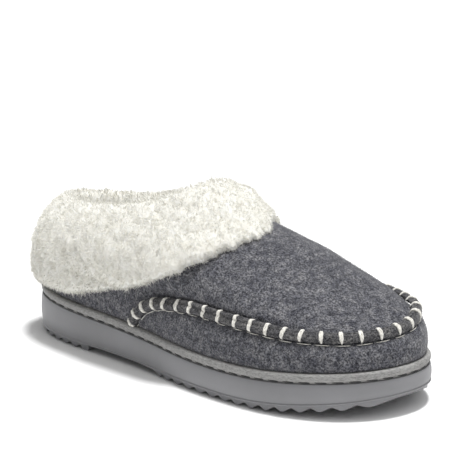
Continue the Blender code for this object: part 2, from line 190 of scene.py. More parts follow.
def shaped_grid(name, around, rows, place):
    """A primitive grid laid onto a surface. place gives points for shares across and along."""
    bpy.ops.mesh.primitive_grid_add(x_subdivisions=around, y_subdivisions=rows, size=1)
    piece = bpy.context.object
    piece.name = name
    piece.data.name = name
    flat = np.empty(len(piece.data.vertices) * 3)
    piece.data.vertices.foreach_get("co", flat)
    steps = np.rint((flat.reshape(-1, 3)[:, :2] + 0.5) * (around, rows))
    points = place(steps[:, 0] / around, steps[:, 1] / rows) + PLACE
    piece.data.vertices.foreach_set("co", points.ravel())
    piece.data.update()
    bpy.ops.object.mode_set(mode="EDIT")
    bpy.ops.mesh.select_all(action="SELECT")
    bpy.ops.mesh.remove_doubles(threshold=0.01 * MM)
    bpy.ops.mesh.normals_make_consistent(inside=False)
    bpy.ops.object.mode_set(mode="OBJECT")
    bpy.ops.object.shade_smooth()
    return piece


def stacked(rings):
    """A place function for shaped_grid from stacked rings, each a function of the turn."""

    def place(around, along):
        row = np.rint(along * (len(rings) - 1)).astype(int)
        points = np.zeros((len(row), 3))
        for i, ring in enumerate(rings):
            points[row == i] = ring(2 * math.pi * around[row == i])
        return points

    return place


def edge_ring(inset, height):
    def ring(turn):
        points = sole_edge(turn, inset)
        points[:, 2] = height(points[:, 0])
        return points

    return ring


def middle_line(inset, height):
    """A ring folded flat onto the sole's middle line, which closes a stack of rings."""

    def ring(turn):
        x = inset + (SOLE_LENGTH - 2 * inset) * station_of(turn)
        return np.stack([x, 0 * x, height(x)], axis=-1)

    return ring


def outsole_top(x):
    return platform(x) - WELT_HEIGHT


def ledge(x):
    return spring(x) + TREAD_DEPTH


def wall_height(share):
    return lambda x: ledge(x) + (outsole_top(x) - ledge(x)) * share


def below_tread(x):
    return spring(x) - TREAD_DEPTH


sole_rings = [
    middle_line(TREAD_INSET, below_tread),
    edge_ring(TREAD_INSET, below_tread),
    edge_ring(TREAD_INSET, ledge),
]
for wall_inset, wall_share in WALL_PROFILE:
    sole_rings.append(edge_ring(wall_inset, wall_height(wall_share)))
sole_rings.append(middle_line(WALL_PROFILE[-1][0], outsole_top))
outsole = shaped_grid("outsole_rubber", SOLE_AROUND, len(sole_rings) - 1, stacked(sole_rings))


def tread_line():
    """The sole's lower line in side view, from behind the heel to beyond the toe."""
    beyond = 20 * MM
    line = [(-beyond, TOOTH_DEPTH), (HEEL_TREAD_START, TOOTH_DEPTH)]

    def add_teeth(start, pitch, count):
        for i in range(count):
            root = start + i * pitch
            tip = root + TOOTH_FACE * pitch
            line.append((tip, spring(tip)))
            line.append((tip + TOOTH_LAND, spring(tip + TOOTH_LAND)))
            line.append((root + pitch, spring(root + pitch) + TOOTH_DEPTH))

    add_teeth(HEEL_TREAD_START, HEEL_PITCH, HEEL_TEETH)
    heel_end = HEEL_TREAD_START + HEEL_TEETH * HEEL_PITCH
    line[-1] = (heel_end - TOOTH_LAND, 0.0)
    line.append((heel_end, ARCH_HEIGHT))
    line.append((FORE_TREAD_START - ARCH_SLOPE, ARCH_HEIGHT))
    line.append((FORE_TREAD_START - ARCH_SLOPE / 2, ARCH_HEIGHT * 0.6))
    line.append((FORE_TREAD_START - TOOTH_LAND, 0.0))
    line.append((FORE_TREAD_START, TOOTH_DEPTH))
    add_teeth(FORE_TREAD_START, FORE_PITCH, FORE_TEETH)
    fore_end = FORE_TREAD_START + FORE_TEETH * FORE_PITCH
    line.append((max(fore_end, SOLE_LENGTH) + beyond, spring(fore_end) + TREAD_DEPTH))
    return np.array(line)


def rounded_corners(line, reach):
    """Each corner of a line turned into a short curve."""
    points = [line[0]]
    for before, corner, after in zip(line, line[1:], line[2:]):
        back, on = before - corner, after - corner
        cut = min(reach, 0.4 * np.linalg.norm(back), 0.4 * np.linalg.norm(on))
        start = corner + back / np.linalg.norm(back) * cut
        end = corner + on / np.linalg.norm(on) * cut
        points += [start, (start + end) / 4 + corner / 2, end]
    return np.array(points + [line[-1]])


tread = rounded_corners(tread_line(), TIP_ROUND)
deep = -4 * TREAD_DEPTH
tread_outline = np.vstack([tread, [(tread[-1, 0], deep), (tread[0, 0], deep)]])


def tread_cutter_place(around, along):
    corner = tread_outline[np.rint(around * len(tread_outline)).astype(int) % len(tread_outline)]
    return np.stack([corner[:, 0], (2 * along - 1) * BALL_WIDTH, corner[:, 1]], axis=-1)


tread_cutter = shaped_grid("tread_cutter", len(tread_outline), 1, tread_cutter_place)
for cut_side in (-1, 1):
    for vertex in tread_cutter.data.vertices:
        vertex.select = vertex.co.y * cut_side > 0
    bpy.ops.object.mode_set(mode="EDIT")
    bpy.ops.mesh.select_mode(type="VERT")
    bpy.ops.mesh.edge_face_add()
    bpy.ops.mesh.select_all(action="SELECT")
    bpy.ops.mesh.normals_make_consistent(inside=False)
    bpy.ops.mesh.select_all(action="DESELECT")
    bpy.ops.object.mode_set(mode="OBJECT")


def apply_modifier(piece, kind, **settings):
    """Adds a modifier of a kind with its settings, and applies it."""
    choose(piece)
    modifier = piece.modifiers.new(kind.lower(), kind)
    for setting, value in settings.items():
        setattr(modifier, setting, value)
    bpy.ops.object.modifier_apply(modifier=modifier.name)


apply_modifier(outsole, "BOOLEAN", operation="DIFFERENCE", solver="EXACT", object=tread_cutter)
bpy.data.objects.remove(tread_cutter)
bpy.ops.object.shade_smooth_by_angle(angle=math.radians(38))


class Finish:
    """A Principled material under a name, with short ways to add and join its nodes."""

    def __init__(self, name, **sockets):
        self.material = bpy.data.materials.new(name)
        self.material.use_nodes = True
        self.tree = self.material.node_tree
        self.shader = self.tree.nodes["Principled BSDF"]
        for socket, value in sockets.items():
            self.shader.inputs[socket.replace("_", " ")].default_value = value
        self.object_place = self.tree.nodes.new("ShaderNodeTexCoord").outputs["Object"]

    def join(self, source, target):
        self.tree.links.new(source, target)

    def stretched(self, scale, turn=(0, 0, 0)):
        mapping = self.tree.nodes.new("ShaderNodeMapping")
        mapping.inputs["Scale"].default_value = scale
        mapping.inputs["Rotation"].default_value = turn
        self.join(self.object_place, mapping.inputs["Vector"])
        return mapping.outputs["Vector"]

    def noise(self, scale, detail=2.0, roughness=0.5, place=None):
        node = self.tree.nodes.new("ShaderNodeTexNoise")
        node.inputs["Scale"].default_value = scale
        node.inputs["Detail"].default_value = detail
        node.inputs["Roughness"].default_value = roughness
        self.join(place or self.object_place, node.inputs["Vector"])
        return node.outputs["Fac"]

    def ramp(self, source, stops):
        node = self.tree.nodes.new("ShaderNodeValToRGB")
        ramp = node.color_ramp
        while len(ramp.elements) < len(stops):
            ramp.elements.new(0.5)
        for element, (position, color) in zip(ramp.elements, stops):
            element.position = position
            element.color = (*color, 1.0)
        self.join(source, node.inputs["Fac"])
        return node.outputs["Color"]

    def mix(self, first, second, share, blend="MIX"):
        node = self.tree.nodes.new("ShaderNodeMix")
        node.data_type = "RGBA"
        node.blend_type = blend
        sockets = [s for s in node.inputs if s.type == "RGBA"]
        self.join(first, sockets[0])
        self.join(second, sockets[1])
        if isinstance(share, float):
            node.inputs[0].default_value = share
        else:
            self.join(share, node.inputs[0])
        return [s for s in node.outputs if s.type == "RGBA"][0]

    def bump(self, height, strength, distance, under=None):
        node = self.tree.nodes.new("ShaderNodeBump")
        node.inputs["Strength"].default_value = strength
        node.inputs["Distance"].default_value = distance
        self.join(height, node.inputs["Height"])
        if under:
            self.join(under, node.inputs["Normal"])
        return node.outputs["Normal"]

    def color(self, source):
        self.join(source, self.shader.inputs["Base Color"])

    def relief(self, source):
        self.join(source, self.shader.inputs["Normal"])


def grey(value, blue=0.0):
    return (value, value, value + blue)


rubber = Finish("grey_rubber", Roughness=0.46, Specular_IOR_Level=0.42)
rubber_cloud = rubber.noise(45, detail=3)
rubber.color(rubber.ramp(rubber_cloud, [(0.3, grey(0.218, 0.008)), (0.7, grey(0.242, 0.011))]))
rubber_grain = rubber.bump(rubber.noise(2600, detail=1), 0.12, 0.05 * MM)
rubber.relief(rubber.bump(rubber.noise(330, detail=2), 0.10, 0.15 * MM, under=rubber_grain))


def hand_in(piece, finish, slot, *nodes):
    """Gives a piece its finish, ties it to the body and hides the solids it stands for. The slot is
    not used.
    """
    piece.data.materials.clear()
    piece.data.materials.append(finish.material)
    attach(piece, "root")
    if nodes:
        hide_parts(*nodes)


hand_in(outsole, rubber, "outsole_rubber", "outsole")

# Midsole band: a strip of fine-grained wrap folded round the platform's edge, with a rounded top
# edge against the felt. A row of long dark stitches in a groove at its foot holds the outsole.
FIT_GAP = 0.3 * MM
WELT_STITCH_PITCH = 8.8 * MM
WELT_STITCH_LENGTH = 7.2 * MM
WELT_THREAD_RADIUS = 0.40 * MM
WELT_FOOT_INSET = 1.05 * MM
WELT_GROOVE = 0.085
WELT_STITCH_SLANT = 0.09
WELT_STITCH_SINK = 0.25 * MM
WELT_STITCH_RISE = 0.5 * MM

# Columns: inset of the band's side, and height as a share of the band
WELT_PROFILE = [
    (1.00 * MM, 0.00), (WELT_FOOT_INSET, 0.03), (WELT_FOOT_INSET, 0.06), (WELT_FOOT_INSET, 0.09),
    (WELT_FOOT_INSET, 0.12), (0.85 * MM, 0.16), (0.42 * MM, 0.20), (0.12 * MM, 0.27),
    (-0.10 * MM, 0.40), (-0.22 * MM, 0.56), (-0.18 * MM, 0.70), (0.02 * MM, 0.82),
    (0.40 * MM, 0.92), (0.95 * MM, 0.985), (1.70 * MM, 1.00),
]


def welt_height(share):
    def height(x):
        low = outsole_top(x) + FIT_GAP
        return low + (platform(x) - low) * share

    return height


welt_rings = [middle_line(WELT_PROFILE[0][0], welt_height(0.0))]
for welt_inset, welt_share in WELT_PROFILE:
    welt_rings.append(edge_ring(welt_inset, welt_height(welt_share)))
welt_rings.append(middle_line(WELT_PROFILE[-1][0], platform))
welt = shaped_grid("midsole_wrap", SOLE_AROUND, len(welt_rings) - 1, stacked(welt_rings))

wrap = Finish("fine_grained_wrap", Roughness=0.72, Specular_IOR_Level=0.3)
wrap_cloud = wrap.noise(70, detail=3)
wrap_fibre = wrap.noise(1.0, detail=4, roughness=0.75, place=wrap.stretched((520, 520, 1900)))
wrap.color(wrap.mix(
    wrap.ramp(wrap_cloud, [(0.3, (0.295, 0.292, 0.285)), (0.7, (0.340, 0.337, 0.329))]),
    wrap.ramp(wrap_fibre, [(0.36, grey(0.42)), (0.50, grey(0.88)), (0.64, grey(1.25))]),
    0.75, "MULTIPLY",
))
wrap_grain = wrap.bump(wrap_fibre, 0.7, 0.30 * MM)
wrap.relief(wrap.bump(wrap.noise(420, detail=2), 0.4, 0.4 * MM, under=wrap_grain))
hand_in(welt, wrap, "welt_wrap", "midsole")


def tube_place(path, radius, sideways):
    """A place function for a round thread along a path, with the way sideways at each share."""

    def place(around, along):
        shares, row = np.unique(along, return_inverse=True)
        centre, side = path(shares), sideways(shares)
        ahead = unit(np.gradient(centre, axis=0))
        side = unit(side - ahead * np.sum(side * ahead, -1, keepdims=True))
        up = np.cross(ahead, side)
        angle = (2 * math.pi * around)[:, None]
        reach = radius(around, along)[:, None]
        return centre[row] + (side[row] * np.cos(angle) + up[row] * np.sin(angle)) * reach

    return place


def joined(name, pieces):
    """Joins like pieces, each with its own mesh, into one named piece."""
    choose(*pieces)
    bpy.ops.object.join()
    pieces[0].name = name
    pieces[0].data.name = name
    return pieces[0]


outline_steps = sole_edge(all_turns, WELT_FOOT_INSET)
outline_lengths = np.append(0, np.cumsum(np.linalg.norm(np.diff(outline_steps, axis=0), axis=1)))
welt_stitch_count = round(outline_lengths[-1] / WELT_STITCH_PITCH)
welt_stitches = []
for welt_index in range(welt_stitch_count):
    stitch_start = outline_lengths[-1] * welt_index / welt_stitch_count

    def welt_stitch_path(along, start=stitch_start):
        turn = np.interp(start + WELT_STITCH_LENGTH * along, outline_lengths, all_turns)
        points = sole_edge(turn, WELT_FOOT_INSET)
        out = (points - sole_edge(turn, 4 * MM)) / (4 * MM)
        points += out * (WELT_STITCH_RISE * np.sin(math.pi * along) - WELT_STITCH_SINK)[:, None]
        points[:, 2] = welt_height(WELT_GROOVE + WELT_STITCH_SLANT * (0.5 - along))(points[:, 0])
        return points

    welt_stitches.append(shaped_grid("welt_stitch", 8, 8, tube_place(
        welt_stitch_path,
        lambda around, along: WELT_THREAD_RADIUS * np.sqrt(np.maximum(1 - (2 * along - 1) ** 4, 0)),
        lambda along: np.tile((0.0, 0.0, 1.0), (len(along), 1)),
    )))
welt_thread = joined("midsole_stitches", welt_stitches)
dark_thread = Finish("dark_sole_thread", Roughness=0.8)
dark_thread.color(dark_thread.ramp(dark_thread.noise(1800), [(0.3, grey(0.035)), (0.7, grey(0.07))]))
hand_in(welt_thread, dark_thread, "welt_wrap")

# Upper: one piece of thick heathered wool felt, lasted over the foot's form and closed at heel and
# toe. The vamp is drawn in along the toe seam, so small puckers run up from its stitches.
WALL = 2.6 * MM
FELT_WALL = 2.3 * MM
FEATHER_INSET = 2.2 * MM
TOE_SEAM_INSET = 7.5 * MM
TOE_WALL_HEIGHT = 17.5 * MM
COLLAR_BACK = 10 * MM
COLLAR_FRONT = 129 * MM
COLLAR_WIDTH = 57 * MM
HEEL_HEIGHT = 66.5 * MM
INSTEP_HEIGHT = 88 * MM
INSTEP_CURVE = 2.0
LEAN_START = 0.38
LEAN_FADE = 0.2
CROWN_SIDE = 5 * MM
CROWN_END = 1.5 * MM
SEAM_LEVEL = 0.36
SEAM_WIDTH = 6.4 * MM
SEAM_RAISE = 3.2 * MM
SEAM_END = 0.8 * MM
CURVE_GAP = 0.45 * MM
STITCH_PITCH = 10.05 * MM
PUCKER_DEPTH = 0.38 * MM
PUCKER_REACH = 5.5 * MM
SEAM_TROUGH = 0.9 * MM
SEAM_TROUGH_REACH = 1.4 * MM
FELT_WAVE = 0.28 * MM
FELT_WAVE_SIZE = 16 * MM
FELT_AROUND = 304
FELT_ROWS = 60

# Columns: level up the upper, share of the way from the feather line's inset to the toe seam's,
# inset at the heel as a share of FEATHER_INSET, rise as a share of the toe wall
SIDE_WALL = [
    (0.00, 0.00, 1.00, 0.00),
    (0.06, -0.12, 0.80, 0.20),
    (0.14, -0.08, 0.70, 0.45),
    (0.22, 0.16, 0.75, 0.68),
    (0.29, 0.50, 0.95, 0.85),
    (SEAM_LEVEL, 1.00, 1.30, 1.00),
]

# Columns: share of the way round from the heel, over the outer side, the toe and the inner side,
# height of the toe seam's line as a share of TOE_WALL_HEIGHT
SEAM_HEIGHT = [
    (0.00, 1.00), (0.12, 1.10), (0.20, 1.22), (0.25, 1.26), (0.29, 1.25), (0.33, 1.17),
    (0.37, 1.03), (0.42, 0.94), (0.46, 0.96), (0.50, 1.03), (0.55, 1.22), (0.60, 1.32),
    (0.70, 1.34), (0.80, 1.25), (0.90, 1.10), (1.00, 1.00),
]

# Columns: station along the slipper, level of the toe seam on the upper, from its rear end
SEAM_PATH = [
    (0.376, 0.0), (0.392, 0.08), (0.42, 0.18), (0.46, 0.262),
    (0.51, 0.312), (0.58, 0.352), (0.64, SEAM_LEVEL), (1.0, SEAM_LEVEL),
]

# Columns: length along the toe seam in mm, number of stitches up to there. They sit closer where
# the seam bends up from the sole.
STITCHES = [(0.8, 0.0), (36.6, 4.0), (67.9, 7.0), (92.0, 9.05), (112.0, 11.0), (132.1, 13.0)]

# Columns: share of the way round and level where a soft fold starts, and where it ends, its depth
# in mm, raised where negative, and its half width in mm
FOLDS = [
    (0.290, 0.50, 0.345, 0.78, 0.55, 7.0),
    (0.335, 0.46, 0.400, 0.72, -0.50, 9.0),
    (0.250, 0.40, 0.215, 0.10, 0.55, 6.0),
    (0.190, 0.30, 0.180, 0.05, -0.45, 5.0),
    (0.400, 0.55, 0.480, 0.62, 0.45, 9.0),
    (0.500, 0.72, 0.600, 0.66, -0.45, 8.0),
    (0.700, 0.50, 0.650, 0.78, 0.55, 7.0),
    (0.750, 0.40, 0.785, 0.10, 0.50, 6.0),
    (0.045, 0.02, 0.040, 0.30, 0.35, 5.0),
    (0.955, 0.02, 0.960, 0.30, 0.35, 5.0),
]

wall_lean = smooth_through(SIDE_WALL, 1)
heel_lean = smooth_through(SIDE_WALL, 2)
wall_rise = smooth_through(SIDE_WALL, 3)
seam_rise = smooth_through(SEAM_HEIGHT)
seam_level_at = smooth_through(SEAM_PATH)


def way_round(turn):
    return turn / (2 * math.pi) % 1.0


def side_wall(turn, level):
    ahead = np.clip((station_of(turn) - LEAN_START) / LEAN_FADE, 0, 1)
    ahead = ahead ** 2 * (3 - 2 * ahead)
    toe_inset = FEATHER_INSET + (TOE_SEAM_INSET - FEATHER_INSET) * wall_lean(level)
    heel_inset = FEATHER_INSET * heel_lean(level)
    points = sole_edge(turn, heel_inset + (toe_inset - heel_inset) * ahead)
    lift = FIT_GAP + TOE_WALL_HEIGHT * seam_rise(way_round(turn)) * wall_rise(level)
    points[..., 2] = platform(points[..., 0]) + lift
    return points


def collar(turn):
    station = station_of(turn)
    x = COLLAR_BACK + (COLLAR_FRONT - COLLAR_BACK) * station
    z = HEEL_HEIGHT + (INSTEP_HEIGHT - HEEL_HEIGHT) * station ** INSTEP_CURVE
    return np.stack([x, -np.sin(turn) * COLLAR_WIDTH / 2, z], axis=-1)


def upper_surface(turn, level):
    """Outer face of the upper: side wall up to the seam's level, then vamp and quarters."""
    seam = np.full_like(turn, SEAM_LEVEL)
    share = np.maximum(level - SEAM_LEVEL, 0)[..., None] / (1 - SEAM_LEVEL)
    low, high = side_wall(turn, seam), collar(turn)
    ahead = side_wall(turn + 0.02, seam) - side_wall(turn - 0.02, seam)
    out = unit(np.cross(ahead, high - low))
    crown = (CROWN_END + CROWN_SIDE * np.sin(turn) ** 2)[..., None]
    above = low + (high - low) * share + out * crown * 4 * share * (1 - share)
    below = side_wall(turn, np.minimum(level, SEAM_LEVEL))
    return np.where((level <= SEAM_LEVEL)[..., None], below, above)


def upper_normal(turn, level, step_level=0.02):
    step_turn = 0.01
    across = upper_surface(turn + step_turn, level) - upper_surface(turn - step_turn, level)
    low, high = np.maximum(level - step_level, 0.0), np.minimum(level + step_level, 1.0)
    return unit(np.cross(across, upper_surface(turn, high) - upper_surface(turn, low)))


seam_first_turn = math.acos(1 - 2 * SEAM_PATH[0][0])
route_turns = np.linspace(seam_first_turn, 2 * math.pi - seam_first_turn, 281)
route_levels = np.clip(seam_level_at(station_of(route_turns)), 0, SEAM_LEVEL)
route_points = upper_surface(route_turns, route_levels)
route_lengths = np.append(0, np.cumsum(np.linalg.norm(np.diff(route_points, axis=0), axis=1)))
SEAM_LENGTH = route_lengths[-1]
seam_rest = SEAM_LENGTH - STITCHES[-1][0] * MM
STITCHES.append((SEAM_LENGTH / MM, STITCHES[-1][1] + seam_rest / STITCH_PITCH))
stitch_number = smooth_through(STITCHES)
stitch_lengths = np.linspace(0, SEAM_LENGTH, 1500)
stitch_places = np.interp(
    np.arange(math.floor(STITCHES[-1][1]) + 1), stitch_number(stitch_lengths / MM), stitch_lengths
)


def near_stitch(length):
    """1 at each whip stitch along the seam, 0 midway between two."""
    return 0.5 + 0.5 * np.cos(2 * math.pi * stitch_number(length / MM))


def felt_relief(turn, points):
    """How far the felt stands out or sinks in: puckers by the seam, soft folds, slight waves."""
    gaps = np.stack([np.linalg.norm(points - place, axis=1) for place in route_points[::4]], axis=1)
    away = np.maximum(gaps.min(axis=1) - SEAM_WIDTH / 2, 0)
    length = np.interp(turn, route_turns, route_lengths, left=-1, right=-1)
    length = np.where(length < 0, route_lengths[::4][gaps.argmin(axis=1)], length)
    height = -PUCKER_DEPTH * near_stitch(length) * np.exp(-((away / PUCKER_REACH) ** 2))
    height -= SEAM_TROUGH * np.exp(-((away / SEAM_TROUGH_REACH) ** 2))
    for around_a, level_a, around_b, level_b, depth, width in FOLDS:
        ends = upper_surface(
            np.array([around_a, around_b]) * 2 * math.pi, np.array([level_a, level_b])
        )
        run = ends[1] - ends[0]
        share = np.clip((points - ends[0]) @ run / (run @ run), 0, 1)
        gap = np.linalg.norm(points - ends[0] - share[:, None] * run, axis=1)
        height -= depth * MM * np.exp(-((gap / (width * MM)) ** 2))
    for i, point in enumerate(points):
        height[i] += FELT_WAVE * noise.noise(Vector(point) / FELT_WAVE_SIZE)
    return height


def upper_place(around, along):
    turn = 2 * math.pi * around
    points = upper_surface(turn, along)
    return points + upper_normal(turn, along) * felt_relief(turn, points)[:, None]


upper = shaped_grid("upper_felt", FELT_AROUND, FELT_ROWS, upper_place)
apply_modifier(upper, "SOLIDIFY", thickness=FELT_WALL, offset=-1.0)


def heathered(name, tint):
    """A finish of dark and pale wool felted together, in a tint, with a short soft nap."""
    cloth = Finish(name, Roughness=0.95, Specular_IOR_Level=0.15, Sheen_Weight=0.2)
    cloth.shader.inputs["Sheen Roughness"].default_value = 0.5
    patches = [
        (0.34, (0.052, 0.053, 0.064)),
        (0.50, (0.096, 0.097, 0.108)),
        (0.66, (0.152, 0.151, 0.158)),
    ]
    patch = cloth.ramp(
        cloth.noise(230, detail=3, roughness=0.6),
        [(place, tuple(np.multiply(shade, tint))) for place, shade in patches],
    )
    fleck = cloth.ramp(
        cloth.noise(950, detail=3, roughness=0.75),
        [(0.38, grey(0.10, 0.04)), (0.50, grey(0.82, 0.01)), (0.62, grey(2.1))],
    )
    hair = cloth.ramp(
        cloth.noise(
            1.0, detail=3, roughness=0.7, place=cloth.stretched((420, 2300, 2300), (0.3, 0.5, 0.7))
        ),
        [(0.56, grey(0.0)), (0.70, grey(0.55))],
    )
    ground = cloth.mix(patch, fleck, 0.85, "MULTIPLY")
    cloth.color(cloth.mix(ground, hair, 0.16, "ADD"))
    nap = cloth.bump(cloth.noise(1100, detail=4, roughness=0.75), 0.6, 0.30 * MM)
    cloth.relief(cloth.bump(cloth.noise(230, detail=2), 0.30, 0.6 * MM, under=nap))
    return cloth


felt = heathered("heathered_felt", (1.0, 1.0, 1.0))
hand_in(upper, felt, "felt", "upper")


# Without a seed of its own, noise_vector would shift the tufts from run to run.
noise.seed_set(3)


def tuft_field(points, size):
    """Crown height of the curly tufts, 0 in the creases, and the way to each tuft's middle."""
    heights = np.empty(len(points))
    middles = np.empty((len(points), 3))
    for i, point in enumerate(points / size):
        place = Vector(point)
        place += 0.45 * noise.noise_vector(place * 0.55)
        gaps, seeds = noise.voronoi(place)
        crease = math.exp(-(gaps[1] - gaps[0]) / 0.2)
        heights[i] = max(1 - 1.1 * gaps[0] ** 2, 0) - 0.4 * crease
        middles[i] = (seeds[0] - place) * size
    return heights, middles


def grow_hair(
    name, base, count, length, width, seed,
    lean=(0, 0, 0), stray=0.9, gather=0.0, tuft=MM, wanted=None,
):
    """Joined tapering hairs on a base piece, brushed along lean and gathered into tufts."""
    mesh = base.data
    mesh.calc_loop_triangles()
    corners = np.empty(len(mesh.loop_triangles) * 3, dtype=np.int32)
    mesh.loop_triangles.foreach_get("vertices", corners)
    corners = corners.reshape(-1, 3)
    places = np.empty(len(mesh.vertices) * 3)
    mesh.vertices.foreach_get("co", places)
    places = places.reshape(-1, 3)
    outward = np.empty(len(mesh.vertices) * 3)
    mesh.vertex_normals.foreach_get("vector", outward)
    outward = outward.reshape(-1, 3)
    edges = places[corners]
    weight = np.linalg.norm(np.cross(edges[:, 1] - edges[:, 0], edges[:, 2] - edges[:, 0]), axis=1)
    if wanted:
        weight = weight * wanted(edges.mean(axis=1), outward[corners].mean(axis=1))
    draw = np.random.default_rng(seed)
    face = draw.choice(len(weight), count, p=weight / weight.sum())
    mix = draw.dirichlet((1, 1, 1), count)[..., None]
    root = (places[corners[face]] * mix).sum(axis=1)
    out = unit((outward[corners[face]] * mix).sum(axis=1))
    way = unit(out + lean + draw.normal(0, stray, (count, 3)))
    curl = unit(np.cross(way, draw.normal(0, 1, (count, 3))))
    reach = (length * draw.uniform(0.6, 1.25, count))[:, None]
    thick = (width * draw.uniform(0.7, 1.2, count))[:, None]
    pull = np.zeros((count, 3))
    if gather:
        pull = tuft_field(root, tuft)[1] * gather
    flat = unit(np.cross(way, draw.normal(0, 1, (count, 3)))) * thick / 2
    rows = []
    for share, spread in ((0.0, 1.0), (0.55, 0.85)):
        spine = root - out * 0.25 * width + reach * (way * share + curl * 0.38 * share ** 2)
        spine = spine + pull * share ** 1.5
        rows += [spine - flat * spread, spine + flat * spread]
    rows.append(root + reach * (way * 0.93 + curl * 0.52) + pull)
    points = np.stack(rows, axis=1).reshape(-1, 3)
    start = np.arange(count)[:, None] * len(rows)
    hairs = bpy.data.meshes.new(name)
    hairs.from_pydata(
        points.tolist(), [], (start + (0, 1, 3, 2)).tolist() + (start + (2, 3, 4)).tolist()
    )
    hairs.shade_smooth()
    piece = bpy.data.objects.new(name, hairs)
    bpy.context.scene.collection.objects.link(piece)
    return piece


# Fuzz: the loose wool fibres that stand off the felt and soften its outline.
FUZZ_COUNT = 36000
FUZZ_LENGTH = 1.05 * MM
FUZZ_WIDTH = 0.075 * MM


def on_felt_outside(middle, outward):
    """1 on the outside of the felt, 0 on its inside."""
    local = middle - PLACE
    centre = np.array([(COLLAR_BACK + COLLAR_FRONT) / 2, 0.0, 0.02])
    outside = np.sum(outward * (local - centre), axis=1) > 0
    return outside.astype(float)


fuzz = grow_hair(
    "upper_fuzz", upper, FUZZ_COUNT, FUZZ_LENGTH, FUZZ_WIDTH, seed=11, wanted=on_felt_outside
)
wool = Finish("loose_wool", Roughness=0.9)
wool.color(wool.ramp(wool.noise(700), [(0.4, grey(0.09, 0.01)), (0.62, grey(0.34))]))
hand_in(fuzz, wool, "felt")

# Toe seam: vamp and side wall meet in a raised roll of two felt edges, laid together and bound, so
# a fine line runs along its top. The whip stitches pull it in, and it swells between them.
ROLL_STEPS = 460
ROLL_SIDES = 28
ROLL_SINK = 0.4 * MM
ROLL_FOOT = 0.8
ROLL_EDGE = 0.7 * MM
ROLL_GROOVE = 1.1 * MM
ROLL_GROOVE_PLACE = 0.16
ROLL_GROOVE_REACH = 0.11
ROLL_PINCH = 0.16
ROLL_LUMP = 0.30 * MM
ROLL_LUMP_SIZE = 1.6 * MM
ROLL_FUZZ_COUNT = 9000
ROLL_FUZZ_LENGTH = 1.2 * MM
EASE_STEPS = 15
SEARCH_STEPS = 5

# The roll's upright follows the upper's, eased along the seam where wall and vamp meet at a bend.
ease = np.hanning(2 * EASE_STEPS + 3)[1:-1]
ease = ease / ease.sum()
uprights = np.pad(
    upper_normal(route_turns, route_levels, 0.06), ((EASE_STEPS, EASE_STEPS), (0, 0)), mode="edge"
)
route_normals = unit(np.stack([np.convolve(axis, ease, mode="valid") for axis in uprights.T], axis=1))


def along_seam(length, values):
    """A value of the seam's steps at a length along it, or each column of a table of them."""
    if values.ndim == 1:
        return np.interp(length, route_lengths, values)
    return np.stack([np.interp(length, route_lengths, axis) for axis in values.T], axis=-1)


def seam_place(length):
    return along_seam(length, route_turns), along_seam(length, route_levels)


def beside_seam(length, offset):
    """Points on the upper square beside the seam, the way out there, and that at the seam."""
    turn, level = seam_place(length)
    middle = upper_surface(turn, level)
    normal = unit(along_seam(length, route_normals))
    before, after = np.clip(length - MM, 0, SEAM_LENGTH), np.clip(length + MM, 0, SEAM_LENGTH)
    ahead = unit(upper_surface(*seam_place(after)) - upper_surface(*seam_place(before)))
    side = unit(np.cross(normal, ahead))
    step = 0.005
    for _ in range(SEARCH_STEPS):
        here = upper_surface(turn, level) - middle
        by_turn = upper_surface(turn + step, level) - upper_surface(turn - step, level)
        low, high = np.maximum(level - step, 0.0), np.minimum(level + step, 1.0)
        by_level = upper_surface(turn, high) - upper_surface(turn, low)
        off_ahead, off_side = -(here * ahead).sum(-1), offset - (here * side).sum(-1)
        a, b = (by_turn * ahead).sum(-1) / (2 * step), (by_level * ahead).sum(-1) / (high - low)
        c, d = (by_turn * side).sum(-1) / (2 * step), (by_level * side).sum(-1) / (high - low)
        size = a * d - b * c
        turn = turn + np.clip((off_ahead * d - off_side * b) / size, -0.1, 0.1)
        level = np.maximum(level + np.clip((off_side * a - off_ahead * c) / size, -0.1, 0.1), 0.0)
    return upper_surface(turn, level), upper_normal(turn, level), normal


def roll_groove(share):
    return ROLL_GROOVE * np.exp(-(((share - ROLL_GROOVE_PLACE) / ROLL_GROOVE_REACH) ** 2))


def roll_height(length, share):
    """How far the roll stands off the upper, at a share across it from -1 to 1."""
    dome = SEAM_RAISE * np.sqrt(np.maximum(1 - share ** 2, 0))
    dome = dome * (1 - ROLL_PINCH * near_stitch(length) ** 3)
    ends = np.minimum(np.minimum(length, SEAM_LENGTH - length) / (4 * MM), 1.0)
    return (dome - roll_groove(share)) * np.sqrt(np.maximum(ends, 0.05))


def roll_place(around, along):
    length = SEAM_END + (SEAM_LENGTH - 2 * SEAM_END) * along
    angle = 2 * math.pi * around
    share = -np.cos(angle)
    bottom = np.sin(angle) < 0
    width = np.where(bottom, ROLL_FOOT, 1.0) * SEAM_WIDTH / 2
    base, out, normal = beside_seam(length, share * width)
    lift = np.where(bottom, 0.0, np.maximum(roll_height(length, share), ROLL_EDGE))
    points = base + out * (CURVE_GAP - ROLL_SINK) + normal * lift[:, None]
    for i in np.flatnonzero(~bottom):
        points[i] += normal[i] * ROLL_LUMP * noise.noise(Vector(points[i]) / ROLL_LUMP_SIZE)
    return points


def close_ends(piece):
    """Fills the open ends of a tube and turns its faces out."""
    choose(piece)
    bpy.ops.object.mode_set(mode="EDIT")
    bpy.ops.mesh.select_mode(type="EDGE")
    bpy.ops.mesh.select_all(action="DESELECT")
    bpy.ops.mesh.select_non_manifold()
    bpy.ops.mesh.fill()
    bpy.ops.mesh.select_all(action="SELECT")
    bpy.ops.mesh.normals_make_consistent(inside=False)
    bpy.ops.mesh.select_mode(type="VERT")
    bpy.ops.object.mode_set(mode="OBJECT")


